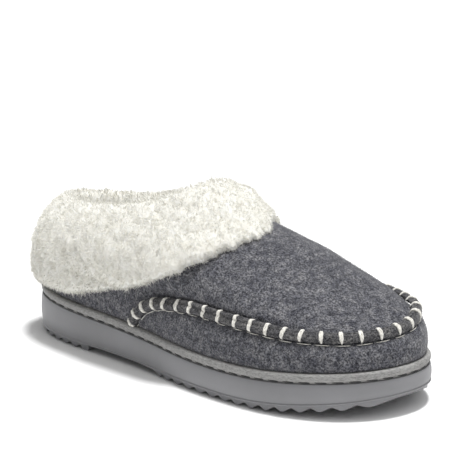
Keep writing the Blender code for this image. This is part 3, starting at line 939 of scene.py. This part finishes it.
roll = shaped_grid("toe_seam_felt", ROLL_SIDES, ROLL_STEPS, roll_place)
close_ends(roll)
roll_felt = heathered("toe_seam_edge_felt", (0.80, 0.78, 0.72))
hand_in(roll, roll_felt, "felt", "toe_seam")
roll_fuzz = grow_hair(
    "toe_seam_fuzz", roll, ROLL_FUZZ_COUNT, ROLL_FUZZ_LENGTH, FUZZ_WIDTH, seed=12
)
hand_in(roll_fuzz, wool, "felt")

# Whip stitches: cream wool yarn of two strands, over the roll from the vamp to the side wall, each
# end down into the felt. A finer thread of the same wool shows beside their lower ends.
YARN_RADIUS = 0.60 * MM
YARN_STRANDS = (-0.56 * MM, 0.56 * MM)
YARN_TWISTS = 2.5
YARN_TOP = 1.14
YARN_FOOT = -1.06
YARN_TAPER = 0.16
YARN_DIVE = 0.9 * MM
EDGE_THREAD_RADIUS = 0.22 * MM
EDGE_THREAD_RISE = 0.80 * MM
EDGE_THREAD_SINK = 1.15 * MM

yarn = Finish("cream_yarn", Roughness=0.82, Specular_IOR_Level=0.25, Sheen_Weight=0.2)
yarn_shade = yarn.noise(900, detail=3, roughness=0.7)
yarn.color(yarn.ramp(yarn_shade, [(0.30, (0.52, 0.50, 0.45)), (0.60, (0.86, 0.845, 0.79))]))
yarn.relief(yarn.bump(yarn.noise(1900, detail=2), 0.5, 0.18 * MM))

stitch_draw = np.random.default_rng(5)
whip_strands = []
for stitch_place in stitch_places:
    stitch_middle = stitch_place + stitch_draw.uniform(-0.35, 0.35) * MM
    stitch_slant = stitch_draw.uniform(-0.4, 0.4) * MM
    for strand_shift in YARN_STRANDS:

        def strand_path(along, middle=stitch_middle, slant=stitch_slant, shift=strand_shift):
            share = YARN_TOP + (YARN_FOOT - YARN_TOP) * along
            squeeze = 0.35 + 0.65 * np.sin(math.pi * along)
            length = np.clip(middle + shift * squeeze + slant * share, 0, SEAM_LENGTH)
            base, _, normal = beside_seam(length, share * SEAM_WIDTH / 2)
            lift = roll_height(np.full_like(length, middle), np.clip(share, -1, 1))
            over = np.where(np.abs(share) < 0.97, CURVE_GAP - ROLL_SINK + YARN_RADIUS * 0.7, 0.0)
            dive = np.maximum(np.abs(share) - 1.0, 0) / YARN_TAPER
            full = np.interp(np.abs(share), (0, 0.9, 1.0), (1.0, 1.04, 0.6))
            lift = (lift + 0.75 * roll_groove(share)) * full + over - YARN_DIVE * dive
            return base + normal * lift[:, None]

        def strand_radius(around, along, phase=strand_shift):
            ply = 1 + 0.13 * np.cos(2 * math.pi * (2 * around + YARN_TWISTS * along) + phase / MM)
            ends = np.minimum(np.minimum(along, 1 - along) / YARN_TAPER, 1.0)
            return YARN_RADIUS * ply * np.sqrt(np.maximum(ends, 0.0))

        def strand_side(along, middle=stitch_middle):
            start, end = np.clip([middle - MM, middle + MM], 0, SEAM_LENGTH)
            ahead = along_seam(end, route_points) - along_seam(start, route_points)
            return np.tile(ahead, (len(along), 1))

        whip_strands.append(shaped_grid("whip_strand", 8, 16, tube_place(
            strand_path, strand_radius, strand_side)))
whip = joined("whip_stitches", whip_strands)
hand_in(whip, yarn, "stitch_yarn")


def edge_thread_path(along):
    length = SEAM_END + (SEAM_LENGTH - 2 * SEAM_END) * along
    near = near_stitch(length - 1.6 * MM)
    base, out, _ = beside_seam(length, (-1.10 - 0.10 * near) * SEAM_WIDTH / 2)
    return base + out * (EDGE_THREAD_RISE * near - EDGE_THREAD_SINK)[:, None]


edge_thread = shaped_grid("toe_seam_edge_thread", 6, 620, tube_place(
    edge_thread_path,
    lambda around, along: np.full_like(along, EDGE_THREAD_RADIUS),
    lambda along: upper_normal(*seam_place(along * SEAM_LENGTH)),
))
close_ends(edge_thread)
hand_in(edge_thread, yarn, "stitch_yarn")

# Cuff: deep curly fleece folded over the collar, hanging down outside over the quarters, with a
# full roll on top and a short leg inside. Its pile stands in tufts, brushed down and forwards.
CUFF_THICKNESS = 8.2 * MM
CUFF_TOP = 11.8 * MM
CUFF_LINING = 5 * MM
CUFF_INSIDE = 20 * MM
PILE_DEPTH = 1.3 * MM
TUFT_SIZE = 7.4 * MM
TUFT_RAISE = 1.25 * MM
TUFTLET_SIZE = 2.6 * MM
TUFTLET_RAISE = 0.22 * MM
LIP_REACH = 0.6
SCALLOP = 0.004
TOP_PUFF = 6 * MM
RIM_PUFF = 4.5 * MM
RIM_PUFF_PLACE = 0.22
RIM_PUFF_REACH = 0.10
CUFF_AROUND = 400
CUFF_OUTER_ROWS = 44
CUFF_ROLL_ROWS = 24
CUFF_LEG_ROWS = 14
SLOT_ROWS = 8
OUTER_PILE_COUNT = 62000
OUTER_PILE_LENGTH = 1.7 * MM
OUTER_PILE_WIDTH = 0.24 * MM
INNER_PILE_COUNT = 26000
INNER_PILE_LENGTH = 3.4 * MM
INNER_PILE_WIDTH = 0.32 * MM

# Columns: share of the way round in the same order, level of the cuff's lower edge
CUFF_EDGE = [
    (0.00, 0.07), (0.06, 0.08), (0.11, 0.10), (0.15, 0.14), (0.18, 0.23), (0.20, 0.33),
    (0.24, 0.49), (0.28, 0.60), (0.32, 0.68), (0.36, 0.74), (0.41, 0.793), (0.46, 0.82),
    (0.50, 0.834), (0.54, 0.852), (0.58, 0.862), (0.62, 0.845), (0.66, 0.79), (0.70, 0.70),
    (0.74, 0.585), (0.78, 0.43), (0.82, 0.27), (0.86, 0.165), (0.90, 0.11), (1.00, 0.07),
]

# Columns: share of the way from the cuff's lower edge to the collar, thickness as a share
CUFF_PROFILE = [
    (-0.03, 0.12), (-0.028, 0.45), (-0.012, 0.80), (0.03, 0.94), (0.10, 0.98), (0.21, 1.01),
    (0.37, 1.04), (0.53, 1.04), (0.69, 1.03), (0.85, 1.01), (1.00, 1.00),
]

# Columns: share of the way round in the same order, height of the roll on top as a share of
# CUFF_TOP, thickness of the lower lip and of the top as shares of the fleece's own
CUFF_FORM = [
    (0.00, 1.00, 1.00, 1.00), (0.08, 1.30, 1.00, 1.00), (0.22, 1.60, 1.00, 1.00),
    (0.34, 1.50, 0.95, 1.05), (0.42, 1.50, 0.65, 1.25), (0.50, 1.55, 0.45, 1.40),
    (0.58, 1.55, 0.60, 1.40), (0.68, 1.30, 0.95, 1.15), (0.80, 1.10, 1.00, 1.00),
    (0.90, 1.15, 1.00, 1.00), (1.00, 1.00, 1.00, 1.00),
]

cuff_level = smooth_through(CUFF_EDGE)
cuff_top_share = smooth_through(CUFF_FORM, 1)
lip_fullness = smooth_through(CUFF_FORM, 2)
top_fullness = smooth_through(CUFF_FORM, 3)


def cuff_outer(share, thick):
    """One ring of the cuff's outer face, as points and the way out."""

    def ring(turn):
        edge = cuff_level(way_round(turn))
        wave = np.sin(19 * turn) + 0.8 * np.sin(31 * turn + 1) + 0.5 * np.sin(53 * turn + 2)
        level = edge + (1 - edge) * share + SCALLOP * wave * max(1 - 4 * max(share, 0), 0)
        out = upper_normal(turn, level, 0.12)
        lip = lip_fullness(way_round(turn))
        crown = top_fullness(way_round(turn))
        full = lip + (crown - lip) * min(max(share / LIP_REACH, 0.0), 1.0)
        depth = np.maximum(CUFF_THICKNESS * thick * full - PILE_DEPTH, 0.3 * MM)
        return upper_surface(turn, level) + out * (FIT_GAP + depth)[:, None], out

    return ring


def cuff_rise(turn):
    full = np.ones_like(turn)
    return unit(upper_surface(turn, full) - upper_surface(turn, 0.95 * full))


def cuff_roll(angle):
    def ring(turn):
        full = np.ones_like(turn)
        top, out = upper_surface(turn, full), upper_normal(turn, full)
        outer = CUFF_THICKNESS * top_fullness(way_round(turn))
        thick = outer if angle <= 90 else CUFF_LINING * np.ones_like(turn)
        thick = thick + TOP_PUFF * math.sin(math.radians(angle)) ** 0.5 * (angle > 90)
        reach = (thick - PILE_DEPTH + FIT_GAP + WALL / 2)[:, None]
        across, up = math.cos(math.radians(angle)), math.sin(math.radians(angle))
        way = out * across + cuff_rise(turn) * up
        points = top - out * WALL / 2 + out * across * reach
        height = CUFF_TOP * cuff_top_share(way_round(turn)) - PILE_DEPTH
        height += RIM_PUFF * np.exp(-(((way_round(turn) - RIM_PUFF_PLACE) / RIM_PUFF_REACH) ** 2))
        return points + cuff_rise(turn) * up * height[:, None], way

    return ring


def inside_level(turn, share):
    """Level inside the upper at a share of the way down the cuff's inner leg."""
    full = np.ones_like(turn)
    seam = upper_surface(turn, SEAM_LEVEL * full)
    height = np.linalg.norm(upper_surface(turn, full) - seam, axis=1)
    return 1 - (1 - SEAM_LEVEL) * np.minimum(CUFF_INSIDE / height, 0.9) * share


def cuff_leg(share, depth):
    def ring(turn):
        level = inside_level(turn, share)
        out = upper_normal(turn, level)
        return upper_surface(turn, level) - out * depth, -out

    return ring


def cuff_slot(share):
    def ring(turn):
        edge = cuff_level(way_round(turn))
        level = 1 + (edge - 1) * share
        out = upper_normal(turn, level)
        lift = CURVE_GAP * (1 if share == 0 else 0)
        return upper_surface(turn, level) + out * CURVE_GAP + cuff_rise(turn) * lift, out

    return ring


cuff_thickness = smooth_through(CUFF_PROFILE)
cuff_rings = []
for row in range(CUFF_OUTER_ROWS + 1):
    row_share = -0.03 + 1.03 * (row / CUFF_OUTER_ROWS) ** 1.15
    cuff_rings.append((cuff_outer(row_share, float(cuff_thickness(row_share))), min(row / 3, 1)))
for row in range(1, CUFF_ROLL_ROWS):
    cuff_rings.append((cuff_roll(180 * row / CUFF_ROLL_ROWS), 1.0))
leg_depth = WALL + FIT_GAP + CUFF_LINING - PILE_DEPTH
for row in range(CUFF_LEG_ROWS + 1):
    cuff_rings.append((cuff_leg(row / CUFF_LEG_ROWS, leg_depth), 0.8))
for row in range(3):
    cuff_rings.append((cuff_leg(1 - row / 2, WALL + CURVE_GAP), 0.0))
for row in range(SLOT_ROWS + 1):
    cuff_rings.append((cuff_slot(row / SLOT_ROWS), 0.0))
cuff_rings.append(cuff_rings[0])

# The pile is brushed down and forwards, so the tufts lie longer that way.
BRUSHED = np.array([0.55, 0.0, -0.84])
BRUSH_STRETCH = 0.5


def fleece_relief(points):
    """How far tufts and their small curls lift the fleece, in metres."""
    stretched = points - np.outer(points @ BRUSHED, BRUSHED) * BRUSH_STRETCH
    tufts = tuft_field(stretched, TUFT_SIZE)[0]
    curls = tuft_field(points, TUFTLET_SIZE)[0]
    return TUFT_RAISE * (tufts - 0.55) + TUFTLET_RAISE * (curls - 0.5)


def cuff_place(around, along):
    row = np.rint(along * (len(cuff_rings) - 1)).astype(int)
    points = np.zeros((len(row), 3))
    out = np.zeros((len(row), 3))
    amount = np.zeros(len(row))
    for i, (ring, fleece) in enumerate(cuff_rings):
        chosen = row == i
        points[chosen], out[chosen] = ring(2 * math.pi * around[chosen])
        amount[chosen] = fleece
    fleecy = amount > 0
    lift = fleece_relief(points[fleecy]) * amount[fleecy]
    points[fleecy] += out[fleecy] * lift[:, None]
    return points


cuff = shaped_grid("cuff_fleece", CUFF_AROUND, len(cuff_rings) - 1, cuff_place)

fleece = Finish(
    "curly_fleece", Roughness=1.0, Specular_IOR_Level=0.1, Sheen_Weight=0.15,
    Subsurface_Weight=0.5, Subsurface_Radius=(1.0, 0.95, 0.85), Subsurface_Scale=3 * MM,
)
fleece_tone = fleece.noise(140, detail=4, roughness=0.65)
fleece.color(fleece.ramp(fleece_tone, [(0.30, (0.75, 0.735, 0.675)), (0.62, (0.82, 0.812, 0.768))]))
fleece.relief(fleece.bump(fleece.noise(900, detail=4, roughness=0.7), 0.4, 0.3 * MM))
hand_in(cuff, fleece, "fleece", "cuff")


def cuff_outer_side(middle, outward):
    local = middle - PLACE
    centre = np.array([(COLLAR_BACK + COLLAR_FRONT) / 2, 0.0, local[:, 2].mean()])
    away = (local - centre) * (1.0, 1.6, 0.3)
    return (np.sum(outward * away, axis=1) > -0.008).astype(float)


def cuff_inner_side(middle, outward):
    return 1 - cuff_outer_side(middle, outward)


pile = Finish("fleece_pile", Roughness=1.0, Specular_IOR_Level=0.1, Sheen_Weight=0.1)
pile_tone = pile.noise(160, detail=4, roughness=0.65)
pile.color(pile.ramp(pile_tone, [(0.30, (0.77, 0.755, 0.695)), (0.62, (0.84, 0.832, 0.788))]))
cuff_pile = grow_hair(
    "cuff_pile", cuff, OUTER_PILE_COUNT, OUTER_PILE_LENGTH, OUTER_PILE_WIDTH, seed=21,
    lean=BRUSHED * 0.55, stray=0.46, gather=0.34, tuft=3.2 * MM, wanted=cuff_outer_side,
)
hand_in(cuff_pile, pile, "fleece")
inner_pile = grow_hair(
    "cuff_inner_pile", cuff, INNER_PILE_COUNT, INNER_PILE_LENGTH, INNER_PILE_WIDTH, seed=22,
    stray=0.55, gather=0.45, tuft=2.8 * MM, wanted=cuff_inner_side,
)
hand_in(inner_pile, pile, "fleece")

# Lining: the same fleece, thinner, glued to the inside of the upper from the cuff's inner leg down
# to the footbed.
LINING_DEPTH = 2.2 * MM
LINING_AROUND = 220
LINING_ROWS = 26
LINING_PILE_COUNT = 24000
SHORT_PILE_LENGTH = 2.2 * MM
SHORT_PILE_WIDTH = 0.30 * MM


def lining_place(around, along):
    turn = 2 * math.pi * around
    top = inside_level(turn, np.full_like(turn, 0.95))
    level = 0.05 + (top - 0.05) * along
    out = upper_normal(turn, level, 0.06)
    points = upper_surface(turn, level) - out * (WALL + FIT_GAP + LINING_DEPTH / 2)
    lift = 0.6 * MM * (tuft_field(points, TUFTLET_SIZE * 1.6)[0] - 0.5)
    return points - out * lift[:, None]


lining = shaped_grid("lining_fleece", LINING_AROUND, LINING_ROWS, lining_place)
apply_modifier(lining, "SOLIDIFY", thickness=LINING_DEPTH / 2, offset=1.0)
hand_in(lining, fleece, "fleece")

# Footbed: a flat insole covered with the same fleece.
INSOLE_THICKNESS = 6 * MM
INSOLE_INSET = FEATHER_INSET + WALL + 2 * FIT_GAP
INSOLE_AROUND = 220
FOOTBED_PILE_COUNT = 26000

# Columns: inset beyond the insole's own edge, height as a share of its thickness
INSOLE_PROFILE = [(0.0, 0.0), (0.0, 0.55), (0.5 * MM, 0.82), (1.6 * MM, 0.96), (3.2 * MM, 1.0)]


def insole_height(share):
    return lambda x: platform(x) + FIT_GAP + INSOLE_THICKNESS * share


def insole_ring(spread):
    """A ring of the insole's top face at a share of the way out from its middle line."""

    def ring(turn):
        inset = INSOLE_INSET + INSOLE_PROFILE[-1][0]
        edge = sole_edge(turn, inset)
        x = inset + (SOLE_LENGTH - 2 * inset) * station_of(turn)
        middle = np.stack([x, 0 * x, 0 * x], axis=-1)
        points = middle + (edge - middle) * spread
        points[:, 2] = insole_height(1.0)(points[:, 0])
        return points

    return ring


insole_rings = [middle_line(INSOLE_INSET, insole_height(0.0))]
for insole_step, insole_share in INSOLE_PROFILE:
    insole_rings.append(edge_ring(INSOLE_INSET + insole_step, insole_height(insole_share)))
for ring_spread in np.linspace(0.9, 0.0, 10):
    insole_rings.append(insole_ring(ring_spread))


def insole_place(around, along):
    points = stacked(insole_rings)(around, along)
    top = along > 0.45
    lift = 0.7 * MM * (tuft_field(points[top], TUFTLET_SIZE * 1.6)[0] - 0.8)
    points[top, 2] += lift
    return points


insole = shaped_grid("footbed_fleece", INSOLE_AROUND, len(insole_rings) - 1, insole_place)
hand_in(insole, fleece, "fleece", "insole")


def facing_up(_, outward):
    return (outward[:, 2] > 0.6).astype(float)


insole_pile = grow_hair(
    "footbed_pile", insole, FOOTBED_PILE_COUNT, SHORT_PILE_LENGTH, SHORT_PILE_WIDTH, seed=23,
    lean=(0.2, 0, 0), stray=0.5, gather=0.5, tuft=2.8 * MM, wanted=facing_up,
)
hand_in(insole_pile, pile, "fleece")


def lining_inside(middle, outward):
    away = (middle - PLACE) * (1.0, 1.0, 0.0) - np.array([SOLE_LENGTH * 0.4, 0.0, 0.0])
    return (np.sum(outward * away, axis=1) < 0).astype(float)


lining_pile = grow_hair(
    "lining_pile", lining, LINING_PILE_COUNT, SHORT_PILE_LENGTH, SHORT_PILE_WIDTH, seed=24,
    stray=0.5, gather=0.5, tuft=2.8 * MM, wanted=lining_inside,
)
hand_in(lining_pile, pile, "fleece")

# Studio: a wide pale floor under an even sky. A key light stands almost straight above the shoe,
# and a broad soft one high ahead of the toe.
bpy.ops.mesh.primitive_plane_add(size=12)
floor = bpy.context.object
floor.name = "studio_floor"
paper = Finish("pale_paper", Roughness=0.9, Specular_IOR_Level=0.0)
paper.shader.inputs["Base Color"].default_value = (0.96, 0.96, 0.96, 1.0)
floor.data.materials.append(paper.material)

world = bpy.data.worlds.new("studio")
bpy.context.scene.world = world
world.use_nodes = True
sky = world.node_tree.nodes["Background"]
sky.inputs["Color"].default_value = (1.0, 1.0, 1.0, 1.0)
sky.inputs["Strength"].default_value = 0.25

for lamp_name, lamp_energy, lamp_spread, lamp_way in (
    ("key_light", 3.0, 12, (-0.04, -0.11, -0.99)),
    ("broad_light", 1.0, 80, (-0.38, 0.06, -0.92)),
):
    light = bpy.data.lights.new(lamp_name, "SUN")
    light.energy = lamp_energy
    light.angle = math.radians(lamp_spread)
    lamp = bpy.data.objects.new(lamp_name, light)
    bpy.context.scene.collection.objects.link(lamp)
    lamp.rotation_euler = Vector(lamp_way).to_track_quat("-Z", "Y").to_euler()
bpy.context.scene.view_settings.view_transform = "Standard"

# Camera: stands off the outer side, ahead of the toe and a little above, with a long lens.
CAMERA_AZIMUTH = math.radians(44)
CAMERA_ELEVATION = math.radians(15.9)
CAMERA_DISTANCE = 1500 * MM
CAMERA_ROLL = math.radians(-0.6)
FOCAL_PIXELS = 2775
FRAME_PIXELS = 463
SENSOR_WIDTH = 36
LOOKED_AT_PIXEL = (225.89, 299.27)

looked_at = Vector(PLACE) + Vector((SOLE_LENGTH / 2, 0, 35 * MM))
back = Vector((
    math.sin(CAMERA_AZIMUTH) * math.cos(CAMERA_ELEVATION),
    -math.cos(CAMERA_AZIMUTH) * math.cos(CAMERA_ELEVATION),
    math.sin(CAMERA_ELEVATION),
))
right = Vector((math.cos(CAMERA_AZIMUTH), math.sin(CAMERA_AZIMUTH), 0))
pixel = CAMERA_DISTANCE / FOCAL_PIXELS
aim = looked_at + right * (FRAME_PIXELS / 2 - LOOKED_AT_PIXEL[0]) * pixel
aim += back.cross(right) * (LOOKED_AT_PIXEL[1] - FRAME_PIXELS / 2) * pixel
lens = bpy.data.cameras.new("photo_view")
lens.sensor_width = SENSOR_WIDTH
lens.lens = FOCAL_PIXELS / FRAME_PIXELS * SENSOR_WIDTH
lens.clip_end = 30
viewer = bpy.data.objects.new("photo_view", lens)
bpy.context.scene.collection.objects.link(viewer)
viewer.location = looked_at + back * CAMERA_DISTANCE
viewing = (aim - viewer.location).to_track_quat("-Z", "Y")
viewer.rotation_mode = "QUATERNION"
viewer.rotation_quaternion = viewing @ Quaternion((0, 0, 1), CAMERA_ROLL)
bpy.context.scene.camera = viewer
